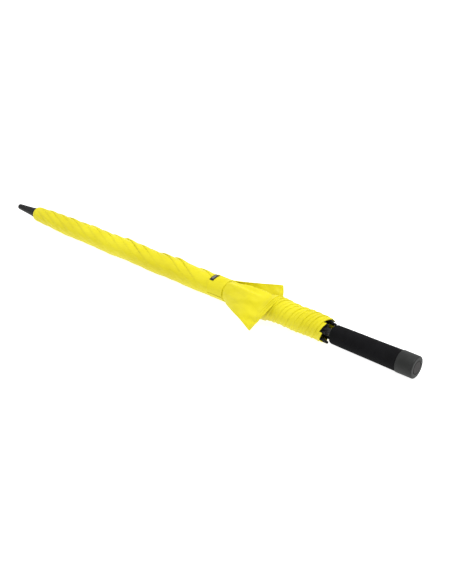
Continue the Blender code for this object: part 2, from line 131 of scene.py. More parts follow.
# Each fold: how far its rounded nose reaches, how wide and high it bulges, and the share of that height
# that each flap takes near the ferrule and near the strap, since some folds are pressed flat
FOLD_NOSE = 0.0022
FOLD_WIDTH = 0.0105
FOLD_HEIGHT = 0.0036
FOLD_SHARES = ((0.10, 0.90), (0.80, 0.12), (0.20, 0.90), (0.70, 1.00),
               (0.30, 0.12), (0.50, 0.90), (0.80, 0.80), (0.80, 0.40))
SHARE_PLACES = (0.18, 0.42)
# The hem past the corners: width and height of its bulge, the share of that height that even and odd
# flaps take, how far the resting roll is lifted there, and the length in which a flap settles to it
HEM_WIDTH = 0.0120
HEM_HEIGHT = 0.0019
HEM_SHARES = (1.0, 0.50)
HEM_LIFT = 0.0030
HEM_JOIN = 0.030
HEM_POWER = 1.13
HEM_LIFT_START = 0.645
HEM_LIFT_FALL = 0.735
HEM_LIFT_RAMP = 0.035
HEM_LIFT_LOSS = 0.4

# Slow swelling of the roll: length over which it grows at the start, reach of the strap's squeeze,
# heights and wavelengths of its leaning (up and down, then sideways) and oval parts
SWELL_RAMP = 0.03
STRAP_SQUEEZE = 0.020
FOLD_SQUEEZE = 0.022
LEAN_HEIGHT = 0.0010
LEAN_UP_PERIOD = 0.080
LEAN_SIDE_PERIOD = 0.065
OVAL_HEIGHT = 0.0005
OVAL_PERIOD = 0.050

# Ridges on the loose flaps: height, wraps before the leaving line where they start, wraps in which
# they grow, and their wavelengths round and along the roll
RIDGE_HEIGHT = 0.0016
RIDGE_LEAD = 1.2
RIDGE_GROWTH = 0.8
RIDGE_ROUND = 1.4
RIDGE_ALONG = 0.16

# Creases of the loose cloth past the strap, the same for every layer: where each starts and ends as
# (s, degrees), its height and its width. The side towards the back is the steep one.
CREASES = (
    ((0.556, 20), (0.642, 36), 0.0060, 0.014),
    ((0.562, 2), (0.655, -8), 0.0050, 0.007),
    ((0.566, 72), (0.650, 96), 0.0030, 0.012),
)
# The dent across the front: its place, its reach and its depth
DENT = (0.6525, 0.0060, 0.0015)

# Two groups of flaps have sprung loose past the strap. The free edge of the first of each runs straight
# from the roll, at the angle root, to its corner, given from the shaft's axis; the others lie over it.
FRONT = {"flaps": (2, 1, 8), "root": math.radians(117.5), "corner": (0.6575, -0.0618, -0.0158)}
BACK = {"flaps": (7, 6, 5, 4, 3), "root": math.radians(342.5), "corner": (0.638, 0.0610, 0.0116)}
# Length in which a flap straightens after it leaves the roll, and a wrap that none reaches
RELAX = 0.012
NEVER = 100.0

# The strap, in the ferrule-side half of which the label is sewn. Spans are in degrees.
STRAP_START = 0.5275
STRAP_WIDTH = 0.0350
STRAP_SLANT = 0.0020
STRAP_RADIUS = 0.0205
TAIL_RADIUS = 0.0213
LABEL_RADIUS = 0.02215
LABEL_WIDTH = 0.0085
SEWN_SPAN = (105, 330)
TAIL_SPAN = (-55, 98)
LABEL_SPAN = (-10, 35)
BAR_SPAN = (-2, 26)
BAND_THICKNESS = 0.0006
SEAM_INSET = 0.0019
# Half of the strap's section from its edge: places across it, and the sewn hem's rise at each
BAND_ACROSS = (0, 0.0004, 0.0010, 0.0022, 0.0026, 0.0030)
BAND_RISE = (0.00, 0.00025, 0.00032, 0.00030, 0.00006, 0.0)

# Stitches: length, distance from one to the next, thickness
STITCH_LENGTH = 0.0022
STITCH_PITCH = 0.0031
STITCH_THICKNESS = 0.00018

# One panel's flat cut: chord across its hem and length along its rib
PANEL_FLAT = (0.509, 0.694)

YELLOW = (0.660, 0.590, 0.009, 1)
YELLOW_DEEP = (0.585, 0.510, 0.002, 1)

CAMERA_PLACE = (1.134, -1.309, 1.005)
CAMERA_YAW = math.radians(-38.85)
CAMERA_PITCH = math.radians(30.395)
CAMERA_LENS = 66.3
FLOOR_SIZE = 90
FLOOR_GLOW = 0.90
SKY_STRENGTH = 0.70
# Each light: its name, place, size and power
LIGHTS = (
    ("key", (0.9, 0.4, 2.5), 1.2, 55),
    ("fill", (-1.6, -0.9, 1.6), 2.0, 12),
    ("rim", (0.2, 1.9, 1.5), 1.6, 8),
)

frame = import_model()
CAD_LOW, CAD_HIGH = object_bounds()
TIP_X = CAD_LOW.x
AXIS_Z = sum(corner.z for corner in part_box("shaft_tube")) / 2


# ---------------------------------------------------------------- geometry

def world(s, r, angle):
    """Points at distance s from the ferrule's tip, radius r and angle, as an array of rows."""
    s, r, angle = np.broadcast_arrays(s, r, angle)
    return np.stack([TIP_X + s, -r * np.sin(angle), AXIS_Z + r * np.cos(angle)], axis=-1)


def outward(angle):
    return np.array([0.0, -math.sin(angle), math.cos(angle)])


def rib_angle(number):
    return FIRST_RIB_ANGLE + SECTOR * (number - 1)


def ease(x):
    x = np.clip(x, 0.0, 1.0)
    return x * x * (3 - 2 * x)


def outline_radius(s, column):
    return np.interp(s, [row[0] for row in ROLL_OUTLINE], [row[column] for row in ROLL_OUTLINE])


def roll_inside(s):
    return outline_radius(s, 1)


def roll_outside(s):
    return outline_radius(s, 2)


def wave(a, b, seed):
    """A smooth, seeded ripple between about -1 and 1 over two lengths counted in wavelengths."""
    random = np.random.default_rng(seed)
    total = np.zeros(np.broadcast(a, b).shape)
    for octave in range(4):
        turn = random.uniform(0, 2 * math.pi)
        shift = random.uniform(0, 2 * math.pi)
        step = 2 * math.pi * (1 + 0.6 * octave)
        total += np.sin(step * (a * math.cos(turn) + b * math.sin(turn)) + shift) / (1 + octave)
    return total / 1.6


def grid_object(name, points, uv, closed=False):
    """A mesh of quads over rows and columns of points, with the cloth's own lengths as its UV map."""
    rows, columns = points.shape[:2]
    index = np.arange(rows * columns).reshape(rows, columns)
    if closed:
        index = np.concatenate([index, index[:, :1]], axis=1)
    quads = np.stack([index[:-1, :-1], index[:-1, 1:], index[1:, 1:], index[1:, :-1]], axis=-1)
    quads = quads.reshape(-1, 4)
    mesh = bpy.data.meshes.new(name)
    mesh.from_pydata(points.reshape(-1, 3).tolist(), [], quads.tolist())
    layer = mesh.uv_layers.new(name="cloth")
    corners = np.zeros(len(mesh.loops), dtype=np.int32)
    mesh.loops.foreach_get("vertex_index", corners)
    layer.data.foreach_set("uv", uv.reshape(-1, 2)[corners].astype(np.float32).ravel())
    mesh.shade_smooth()
    piece = bpy.data.objects.new(name, mesh)
    bpy.context.scene.collection.objects.link(piece)
    return piece


def finish_piece(piece, material, body=None, nodes=()):
    piece.data.materials.clear()
    piece.data.materials.append(material)
    if body:
        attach(piece, body)
    if nodes:
        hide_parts(*nodes)
    return piece


def turned(name, profile, segments):
    """A solid turned round the shaft's axis from a list of (s, r), with rounded ends closed on the axis."""
    s = np.array([point[0] for point in profile])
    r = np.array([point[1] for point in profile])
    angle = np.linspace(0, 2 * math.pi, segments, endpoint=False)
    points = world(s[:, None], r[:, None], angle[None, :])
    along = np.concatenate([[0], np.cumsum(np.hypot(np.diff(s), np.diff(r)))])
    uv = np.stack(np.broadcast_arrays(angle[None, :] * r.max(), along[:, None]), axis=-1)
    piece = grid_object(name, points, uv, closed=True)
    piece.data.set_sharp_from_angle(angle=math.radians(40))
    return piece


def arc(centre, radius, start, end, steps):
    """Points of an arc in the (s, r) plane; angles in degrees from +s towards +r."""
    angles = np.radians(np.linspace(start, end, steps + 1))
    return [(centre[0] + radius * math.cos(a), centre[1] + radius * math.sin(a)) for a in angles]


# ---------------------------------------------------------------- materials

def new_material(name, colour, roughness, metallic=0.0, **sockets):
    material = bpy.data.materials.new(name)
    material.use_nodes = True
    shader = material.node_tree.nodes["Principled BSDF"]
    shader.inputs["Base Color"].default_value = colour
    shader.inputs["Roughness"].default_value = roughness
    shader.inputs["Metallic"].default_value = metallic
    for socket, value in sockets.items():
        shader.inputs[socket.replace("_", " ")].default_value = value
    return material, material.node_tree.nodes, material.node_tree.links, shader


def coordinates(nodes, links, output, scale):
    source = nodes.new("ShaderNodeTexCoord")
    mapping = nodes.new("ShaderNodeMapping")
    mapping.inputs["Scale"].default_value = scale
    links.new(source.outputs[output], mapping.inputs["Vector"])
    return mapping.outputs["Vector"]


def noise_node(nodes, links, vector, scale, detail=3.0, roughness=0.5):
    node = nodes.new("ShaderNodeTexNoise")
    node.inputs["Scale"].default_value = scale
    node.inputs["Detail"].default_value = detail
    node.inputs["Roughness"].default_value = roughness
    links.new(vector, node.inputs["Vector"])
    return node.outputs["Fac"]


def ramp(nodes, links, value, low, high, first, last):
    node = nodes.new("ShaderNodeValToRGB")
    node.color_ramp.elements[0].position = low
    node.color_ramp.elements[1].position = high
    node.color_ramp.elements[0].color = first
    node.color_ramp.elements[1].color = last
    links.new(value, node.inputs["Fac"])
    return node.outputs["Color"]


def map_range(nodes, links, value, low, high):
    node = nodes.new("ShaderNodeMapRange")
    node.inputs["To Min"].default_value = low
    node.inputs["To Max"].default_value = high
    links.new(value, node.inputs["Value"])
    return node.outputs["Result"]


def combine(nodes, links, operation, first, second):
    node = nodes.new("ShaderNodeMath")
    node.operation = operation
    for socket, value in zip(node.inputs, (first, second)):
        if isinstance(value, (int, float)):
            socket.default_value = value
        else:
            links.new(value, socket)
    return node.outputs["Value"]


def bump(nodes, links, shader, height, strength, distance):
    node = nodes.new("ShaderNodeBump")
    node.inputs["Strength"].default_value = strength
    node.inputs["Distance"].default_value = distance
    links.new(height, node.inputs["Height"])
    links.new(node.outputs["Normal"], shader.inputs["Normal"])


def threads(nodes, links, vector, direction, period):
    """Fine parallel threads, one each period."""
    node = nodes.new("ShaderNodeTexWave")
    node.bands_direction = direction
    node.inputs["Scale"].default_value = 2 * math.pi / (20 * period)
    node.inputs["Distortion"].default_value = 0.4
    links.new(vector, node.inputs["Vector"])
    return node.outputs["Fac"]


def cloth_material(name, light, deep, roughness, period, strength, seed):
    """Plain-woven polyester: crossed threads, faint creasing and slow changes of colour."""
    material, nodes, links, shader = new_material(
        name, light, roughness, Sheen_Weight=0.04, Sheen_Roughness=0.4, Specular_IOR_Level=0.24
    )
    cloth = coordinates(nodes, links, "UV", (1, 1, 1))
    body = coordinates(nodes, links, "Object", (1, 1, 1))
    warp = threads(nodes, links, cloth, "X", period)
    weft = threads(nodes, links, cloth, "Y", period)
    weave = combine(nodes, links, "MULTIPLY", warp, weft)
    slow = noise_node(nodes, links, body, 14 + seed, 2.0)
    crumple = noise_node(nodes, links, body, 85, 4.0, 0.6)
    shade = combine(nodes, links, "ADD", combine(nodes, links, "MULTIPLY", slow, 0.75),
                    combine(nodes, links, "MULTIPLY", crumple, 0.25))
    colour = ramp(nodes, links, shade, 0.34, 0.62, deep, light)
    links.new(colour, shader.inputs["Base Color"])
    links.new(map_range(nodes, links, crumple, roughness - 0.08, roughness + 0.10),
              shader.inputs["Roughness"])
    height = combine(nodes, links, "ADD", combine(nodes, links, "MULTIPLY", weave, 0.25), crumple)
    bump(nodes, links, shader, height, strength, 0.0006)
    return material


def webbing_material(name, light, deep):
    """The strap: the canopy's cloth doubled, with a coarser thread."""
    return cloth_material(name, light, deep, 0.5, 0.0008, 0.35, 3)


def foam_material():
    """Closed-cell foam: a fine, even grain of cells and a few larger pores."""
    material, nodes, links, shader = new_material(
        "black_foam", (0.006, 0.006, 0.007, 1), 0.85, Specular_IOR_Level=0.07
    )
    body = coordinates(nodes, links, "Object", (1, 1, 1))
    cells = nodes.new("ShaderNodeTexVoronoi")
    cells.inputs["Scale"].default_value = 900
    links.new(body, cells.inputs["Vector"])
    grain = noise_node(nodes, links, body, 1500, 4.0, 0.6)
    broad = noise_node(nodes, links, body, 40, 3.0)
    height = combine(nodes, links, "ADD", cells.outputs["Distance"],
                     combine(nodes, links, "MULTIPLY", grain, 0.8))
    colour = ramp(nodes, links, combine(nodes, links, "MULTIPLY", broad, grain), 0.12, 0.42,
                  (0.003, 0.003, 0.0034, 1), (0.008, 0.008, 0.009, 1))
    links.new(colour, shader.inputs["Base Color"])
    links.new(map_range(nodes, links, broad, 0.72, 0.92), shader.inputs["Roughness"])
    bump(nodes, links, shader, height, 0.45, 0.0004)
    return material


def plastic_material(name, dark, light, roughness, gloss, grain_scale, strength):
    """Moulded plastic: a fine spark-eroded grain, faint scuffs and slightly uneven gloss."""
    material, nodes, links, shader = new_material(name, dark, roughness, Specular_IOR_Level=gloss)
    body = coordinates(nodes, links, "Object", (1, 1, 1))
    grain = noise_node(nodes, links, body, grain_scale, 5.0, 0.65)
    broad = noise_node(nodes, links, body, 60, 3.0)
    scuffs = noise_node(nodes, links, coordinates(nodes, links, "Object", (1, 9, 9)), 130, 5.0, 0.7)
    colour = ramp(nodes, links, combine(nodes, links, "MULTIPLY", broad, scuffs), 0.16, 0.42,
                  dark, light)
    links.new(colour, shader.inputs["Base Color"])
    links.new(map_range(nodes, links, scuffs, roughness - 0.1, roughness + 0.14),
              shader.inputs["Roughness"])
    bump(nodes, links, shader, grain, strength, 0.0002)
    return material


def fibre_material():
    """Pultruded fibre rod under clear lacquer: long streaks along the rod."""
    material, nodes, links, shader = new_material(
        "graphite", (0.018, 0.018, 0.02, 1), 0.3, Coat_Weight=0.25, Coat_Roughness=0.12
    )
    streaks = noise_node(nodes, links, coordinates(nodes, links, "Object", (0.06, 1, 1)), 1800, 4.0)
    colour = ramp(nodes, links, streaks, 0.35, 0.65, (0.010, 0.010, 0.011, 1),
                  (0.038, 0.038, 0.042, 1))
    links.new(colour, shader.inputs["Base Color"])
    links.new(map_range(nodes, links, streaks, 0.25, 0.42), shader.inputs["Roughness"])
    bump(nodes, links, shader, streaks, 0.12, 0.0001)
    return material


def metal_material(name, dark, light, roughness):
    """Drawn metal: fine lines round the piece and small dull patches."""
    material, nodes, links, shader = new_material(name, light, roughness, 1.0)
    lines = noise_node(nodes, links, coordinates(nodes, links, "Object", (1, 0.08, 0.08)), 2600, 4.0)
    patches = noise_node(nodes, links, coordinates(nodes, links, "Object", (1, 1, 1)), 180, 4.0, 0.6)
    colour = ramp(nodes, links, patches, 0.35, 0.7, dark, light)
    links.new(colour, shader.inputs["Base Color"])
    both = combine(nodes, links, "MULTIPLY", lines, patches)
    links.new(map_range(nodes, links, both, roughness - 0.06, roughness + 0.30),
              shader.inputs["Roughness"])
    bump(nodes, links, shader, lines, 0.15, 0.0001)
    return material


def label_material():
    """Damask label: close black satin threads."""
    return cloth_material("label_black", (0.016, 0.015, 0.015, 1), (0.008, 0.008, 0.008, 1),
                          0.55, 0.0006, 0.3, 1)


def make_materials():
    return {
        "canopy": cloth_material("canopy_yellow", YELLOW, YELLOW_DEEP, 0.46, 0.0006, 0.22, 0),
        "strap": webbing_material("strap_yellow", YELLOW, YELLOW_DEEP),
        "label": label_material(),
        "border": cloth_material("label_border", (0.17, 0.165, 0.155, 1), (0.11, 0.105, 0.10, 1),
                                 0.6, 0.0005, 0.3, 2),
        "foam": foam_material(),
        "plastic": plastic_material("black_plastic", (0.004, 0.0042, 0.0042, 1),
                                    (0.009, 0.0095, 0.0095, 1), 0.42, 0.17, 1400, 0.12),
        "cap": plastic_material("cap_plastic", (0.011, 0.0118, 0.0114, 1),
                                (0.019, 0.0205, 0.0195, 1), 0.5, 0.22, 1100, 0.2),
        "disc": plastic_material("disc_plastic", (0.009, 0.0072, 0.0070, 1),
                                 (0.015, 0.0120, 0.0118, 1), 0.5, 0.16, 1100, 0.1),
        "fibre": fibre_material(),
        "steel": metal_material("steel", (0.42, 0.42, 0.41, 1), (0.62, 0.62, 0.61, 1), 0.32),
        "dark_metal": metal_material("dark_metal", (0.05, 0.05, 0.052, 1),
                                     (0.09, 0.09, 0.093, 1), 0.4),
    }


# ---------------------------------------------------------------- the furled canopy

def group_of(number):
    return FRONT if number in FRONT["flaps"] else BACK


def unwound(angle, near):
    """The angle plus whole turns, as close as it comes to another angle."""
    return angle + 2 * math.pi * round((near - angle) / (2 * math.pi))


def tight_wrap(s):
    return FIRST_WRAP + 2 * math.pi * (np.minimum(s, TIGHT_END) - ROLL_START) / WRAP_PITCH


def free_edge(group, s):
    """Where the group's longest flap leaves the roll at s, as an angle, and how far it reaches."""
    corner_s, corner_y, corner_z = group["corner"]
    along = (min(max(s, TIGHT_END), corner_s) - TIGHT_END) / (corner_s - TIGHT_END)
    radius = float(roll_outside(TIGHT_END + along * (corner_s - TIGHT_END)))
    first = radius * outward(group["root"])
    y = first[1] + (corner_y - first[1]) * along
    z = first[2] + (corner_z - first[2]) * along
    away = max(math.hypot(y, z), radius * 1.00001)
    reach = math.sqrt(away ** 2 - radius ** 2)
    angle = unwound(math.atan2(-y, z), group["root"]) - math.acos(radius / away)
    eased = min(RELAX, reach)
    return angle - eased / (2 * radius), reach + eased / 2, radius


def wrap(number, s):
    """How far flap number wraps round the roll at s, up to its fold, or past its corner to its hem."""
    if s <= TIGHT_END:
        return float(tight_wrap(s))
    group = group_of(number)
    angle, reach, radius = free_edge(group, s)
    longest = rib_angle(group["flaps"][0])
    total = unwound(angle - longest, float(tight_wrap(s)) - 0.8) + reach / radius
    corner_s = group["corner"][0]
    if s <= corner_s:
        return total
    late = total * (1 - hem_share(corner_s))
    return total * hem_share(s) + late * (1 - float(ease((s - corner_s) / HEM_JOIN)))


def hem_share(s):
    """The share of its wrap that a flap still has at s, past the first of the two corners."""
    first = min(FRONT["corner"][0], BACK["corner"][0])
    past = max(0.0, (s - first) / (HEM_END - first))
    return 1 - min(past, 1.0) ** HEM_POWER


def leaving(number, s):
    """The wrap at which flap number leaves the roll at s: past its fold where it doesn't."""
    if s <= TIGHT_END:
        return NEVER
    group = group_of(number)
    angle = free_edge(group, s)[0]
    longest = rib_angle(group["flaps"][0])
    leave = unwound(angle - longest, float(tight_wrap(s)) - 0.8) + longest
    behind = (group["flaps"][0] - number) % RIB_COUNT
    return leave - longest + SECTOR * behind


def climb(number, s):
    """How much the roll's radius grows for each radian of wrap."""
    held = min(s, group_of(number)["corner"][0])
    return float(roll_outside(held) - roll_inside(held)) / wrap(number, held)


def under_strap(s, width):
    return np.exp(-((s - STRAP_START - STRAP_WIDTH / 2) / width) ** 2)


def swell(s, angle):
    """Slow swelling of the whole roll, the same for every layer, and none under the strap."""
    start = ease((s - ROLL_START) / SWELL_RAMP) * (1 - under_strap(s, STRAP_SQUEEZE))
    sides = (wave(s / LEAN_UP_PERIOD, 0.0, 11) * np.cos(angle)
             + wave(s / LEAN_SIDE_PERIOD, 0.3, 12) * np.sin(angle))
    ovals = wave(s / OVAL_PERIOD, 0.7, 13) * np.cos(2 * angle)
    falling = 1 - HEM_LIFT_LOSS * ease((s - HEM_LIFT_FALL) / HEM_LIFT_RAMP)
    resting = HEM_LIFT * ease((s - HEM_LIFT_START) / HEM_LIFT_RAMP) * falling
    swelling = (LEAN_HEIGHT * sides + OVAL_HEIGHT * ovals) * start
    return swelling + resting * np.cos(angle) + creases(s, angle)


def creases(s, angle):
    """Sharper folds of the loose cloth, and the dent that its front makes ahead of the hem."""
    total = np.zeros(np.shape(angle))
    for (first_s, first), (last_s, last), height, width in CREASES:
        along = (s - first_s) / (last_s - first_s)
        line = math.radians(first + (last - first) * along)
        away = (np.mod(angle - line + math.pi, 2 * math.pi) - math.pi) * float(roll_outside(s))
        size = height * ease(along / 0.35) * (1 - ease((along - 0.9) / 0.2))
        total = total + size * np.where(away > 0, np.exp(-np.abs(away / width) ** 1.5),
                                        np.exp(-(away / (0.28 * width)) ** 2))
    place, reach, depth = DENT
    front = ease(0.5 + 1.2 * np.cos(angle - math.radians(62)))
    return total - depth * math.exp(-((s - place) / reach) ** 2) * front


def ridges(number, s, phi):
    """Soft ridges that run from the strap along the loose flaps, the same for all flaps of a group."""
    group = group_of(number)
    place = phi - leaving(number, s) + RIDGE_LEAD
    size = ease((s - TIGHT_END) / 0.05) * (1 - ease((s - group["corner"][0] - 0.005) / 0.02))
    free = ease(place / RIDGE_GROWTH)
    return RIDGE_HEIGHT * (1 + wave(place / RIDGE_ROUND, s / RIDGE_ALONG, 20)) * size * free


def upper_side(angle):
    """1 at the top of the roll and on its back, falling to 0 at the lower front."""
    return (0.5 + 0.5 * np.cos(angle + 0.7)) ** 2.0


def fold_form(number, s, total, phi):
    """Height and sinking of the cloth near its fold or hem."""
    group = group_of(number)
    away = (total - phi) * float(roll_outside(s))
    angle = rib_angle(number) + total
    past = float(ease((s - group["corner"][0] + 0.005) / 0.02))
    lively = 1 + 0.5 * float(wave(s / 0.12, number * 0.37, 5))
    upper = 0.04 + 0.96 * float(upper_side(angle))
    share = float(np.interp(s, SHARE_PLACES, FOLD_SHARES[number - 1]))
    height = FOLD_HEIGHT * share * lively * upper
    height = height * float(ease((s - ROLL_START) / SWELL_RAMP)) * (1 - float(under_strap(s, FOLD_SQUEEZE)))
    hem = HEM_HEIGHT * HEM_SHARES[number % 2] * (0.8 + 0.3 * lively)
    height = (height + 0.0001) * (1 - past) + past * hem
    width = FOLD_WIDTH + (HEM_WIDTH - FOLD_WIDTH) * past
    nose_reach = FOLD_NOSE * (1 + 1.8 * (1 - upper)) * (1 + past)
    nose = np.sqrt(np.clip(1 - (1 - np.minimum(away / nose_reach, 1)) ** 2, 0, 1))
    sink = 0.8 * climb(number, s) * SECTOR * np.exp(-(away / 0.0035) ** 2) * (1 - past)
    return (PLY_GAP + height * np.exp(-(away / width) ** 1.7)) * nose, -sink


def section(number, s, phi, lift):
    """Points of flap number at s, at wraps phi, each lifted off the section by lift."""
    leave = leaving(number, s)
    rolled = np.minimum(phi, leave)
    angle = rib_angle(number) + rolled
    radius = roll_inside(s) + climb(number, s) * rolled + swell(s, angle)
    base = world(s, radius, angle)
    beyond = phi > leave
    facing = angle
    if beyond.any():
        root = float(radius[beyond][0])
        length = (phi - leave) * float(roll_outside(s))
        base, facing = with_tail(base, angle, root, length, beyond, s, rib_angle(number) + leave)
    normal = np.stack([np.zeros_like(facing), -np.sin(facing), np.cos(facing)], axis=-1)
    return base + normal * np.broadcast_to(lift, facing.shape)[:, None]


def with_tail(base, angle, root, length, beyond, s, start):
    """Moves the points beyond the leaving line onto a tail that straightens out as it goes."""
    fine = np.linspace(0, max(float(length.max()), 1e-4), 90)
    bend = np.where(fine < RELAX, fine - fine ** 2 / (2 * RELAX), RELAX / 2) / root
    facing = start + bend
    along = np.stack([-np.cos(facing), -np.sin(facing)], axis=-1)
    step = np.diff(fine)[:, None]
    path = np.concatenate([[[0, 0]], np.cumsum((along[:-1] + along[1:]) / 2 * step, axis=0)])
    here = length[beyond]
    first = world(s, root, start)
    base[beyond, 1] = first[1] + np.interp(here, fine, path[:, 0])
    base[beyond, 2] = first[2] + np.interp(here, fine, path[:, 1])
    turned_to = angle.copy()
    turned_to[beyond] = np.interp(here, fine, facing)
    return base, turned_to


def ply_angles(total, first):
    """Wraps of one ply's columns from first to total, close together near the fold."""
    fine_start = max(first, total - FINE_WIDTH)
    coarse = np.linspace(first, fine_start, COARSE_COLUMNS, endpoint=False)
    fine = fine_start + (total - fine_start) * (1 - (1 - np.linspace(0, 1, FINE_COLUMNS + 1)) ** 1.8)
    return np.concatenate([coarse, fine])


def flap_row(number, s):
    """One cross-section: the outer ply from rib to fold, then the inner ply back to the next rib."""
    total = wrap(number, s) + 0.02
    outer = ply_angles(total, 0.0)
    inner = ply_angles(total, min(SECTOR, 0.9 * total))[:-1][::-1]
    bulge, sink = fold_form(number, s, total, outer)
    above = section(number, s, outer, bulge + sink + ridges(number, s, outer))
    sink = fold_form(number, s, total, inner)[1]
    below = section(number, s, inner, sink + ridges(number, s, inner))
    width = np.concatenate([outer, 2 * total - inner]) * float(roll_outside(s))
    return np.concatenate([above, below]), width


def roll_stations():
    smooth = np.arange(ROLL_START, 0.50, 0.0042)
    close = np.arange(smooth[-1] + 0.003, 0.63, 0.003)
    hem = np.arange(close[-1] + 0.0015, HEM_END - 0.0005, 0.0015)
    return np.concatenate([smooth, close, hem, [HEM_END - 0.0004]])


def flap_piece(number, materials):
    """The rolled flap of one panel."""
    rows = [flap_row(number, s) for s in roll_stations()]
    points = np.array([row[0] for row in rows])
    points[..., 2] = np.maximum(points[..., 2], FLOOR_GAP)
    widths = np.array([row[1] for row in rows])
    along = np.broadcast_to(roll_stations()[:, None], widths.shape)
    piece = grid_object(f"canopy_panel_{number}_furled", points, np.stack([widths, along], axis=-1))
    nodes = [f"canopy_panel_{number}"]
    if number == FRONT["flaps"][0]:
        nodes.append("canopy_flap_front")
    if number == BACK["flaps"][0]:
        nodes.append("canopy_flap_back")
    finish_piece(piece, materials["canopy"], f"panel_{number}", nodes)
    flatten_on_rib(piece)
    return piece


def flatten_on_rib(piece):
    """Only gives a piece its own copy of its mesh; nothing flattens it onto a rib."""
    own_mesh(piece)


def web_radius(s):
    clip = 0.0010 * np.exp(-((s - CLIP_PLACE) / 0.010) ** 2)
    tip = 0.0012 * ease((s - 0.752) / 0.010)
    return RIB_ROOT_RADIUS + (s - CROWN_PIVOT) * RIB_SPLAY + RIB_RADIUS + 0.0003 + clip + tip


def web_piece(number, materials):
    """The open gore of one panel. Furled, it is gathered between its two ribs, inside the roll."""
    share = np.linspace(0, 1, WEB_COLUMNS + 1)
    place = 0.5 - np.sin(np.arcsin(1 - 2 * share) / 3)
    middle = rib_angle(number) + SECTOR / 2
    start_s = CROWN_PIVOT + 0.0022
    half_chord = float(web_radius(start_s)) * math.sin(SECTOR / 2)
    points, widths = [], []
    for row in np.linspace(0, 1, WEB_ROWS):
        scallop = 1 - 0.085 * (1 - (2 * share - 1) ** 2) ** 0.85
        s = start_s + (WEB_END - start_s) * row * np.concatenate([[1], scallop, [1]])
        angle = middle + np.arcsin((2 * place - 1) * half_chord / web_radius(s[1:-1]))
        angle = np.concatenate([[rib_angle(number)], angle, [rib_angle(number) + SECTOR]])
        points.append(world(s, web_radius(s), angle))
        widths.append(np.concatenate([[0], share, [1]]) * PANEL_FLAT[0] * row)
    points = np.array(points)
    along = np.broadcast_to(np.linspace(0, PANEL_FLAT[1], WEB_ROWS)[:, None], points.shape[:2])
    piece = grid_object(f"canopy_panel_{number}_spread", points,
                        np.stack([np.array(widths), along], axis=-1))
    finish_piece(piece, materials["canopy"])
    ends = [world(start_s, web_radius(start_s), rib_angle(number) + turn) for turn in (0, SECTOR)]
    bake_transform(piece)
    return piece


def apex_piece(materials):
    """The cloth cap under the ferrule's collar, gathered into soft pleats."""
    profile = ([(0.05415, 0.0096), (0.0545, 0.0104)]
               + arc((0.0604, 0.0088), 0.0058, 165, 95, 9)
               + [(0.0625, 0.01470), (0.0640, 0.01468), (0.0660, 0.0143), (0.0700, 0.0137)])
    s = np.array([point[0] for point in profile])[:, None]
    r = np.array([point[1] for point in profile])[:, None]
    angle = np.linspace(0, 2 * math.pi, 160, endpoint=False)[None, :]
    depth = 0.00045 * ease((s - 0.055) / 0.008)
    r = r + depth * np.abs(np.sin(4 * (angle - 9.0 * s))) - depth * 0.6
    points = world(s, r, angle)
    uv = np.stack(np.broadcast_arrays(angle * 0.016, s), axis=-1)
    piece = grid_object("canopy_apex", points, uv, closed=True)
    return finish_piece(piece, materials["canopy"], "shaft")


# ---------------------------------------------------------------- strap and label

def strap_slant(angle):
    """The strap isn't wound quite square to the shaft."""
    return -STRAP_SLANT * np.sin(2 * angle - 0.7)


def band_points(start, end, radius, s_from, width, thickness, steps):
    """A closed flat band round the roll, with a raised stitched hem along both edges."""
    across = [*BAND_ACROSS, width / 2] + [width - x for x in reversed(BAND_ACROSS)]
    rise = [*BAND_RISE, 0.0, *reversed(BAND_RISE)]
    angle = np.linspace(start, end, steps + 1)
    wobble = 0.00025 * wave(angle * radius / 0.06, 0.3, 7) + strap_slant(angle)
    rows = []
    for side in (1, -1):
        order = range(len(across)) if side > 0 else range(len(across) - 1, -1, -1)
        for k in order:
            lift = thickness / 2 + rise[k] if side > 0 else -thickness / 2
            rows.append(world(s_from + across[k] + wobble, radius + lift, angle))
    return np.array(rows), angle


def band_piece(name, start, end, radius, s_from, width, thickness, steps):
    points, angle = band_points(start, end, radius, s_from, width, thickness, steps)
    points = points.transpose(1, 0, 2)
    count = points.shape[1]
    along = np.broadcast_to((angle * radius)[:, None], points.shape[:2])
    across = np.broadcast_to(np.linspace(0, 2 * width, count)[None, :], points.shape[:2])
    piece = grid_object(name, points, np.stack([along, across], axis=-1), closed=True)
    close_ends(piece, count)
    piece.data.set_sharp_from_angle(angle=math.radians(50))
    return piece


def close_ends(piece, count):
    """Closes the two open ends of a tube of quads whose rows each have count points."""
    mesh = piece.data
    shape = bmesh.new()
    shape.from_mesh(mesh)
    shape.verts.ensure_lookup_table()
    last = len(shape.verts)
    shape.faces.new([shape.verts[k] for k in reversed(range(count))])
    shape.faces.new([shape.verts[k] for k in range(last - count, last)])
    bmesh.ops.recalc_face_normals(shape, faces=shape.faces[:])
    shape.to_mesh(mesh)
    shape.free()


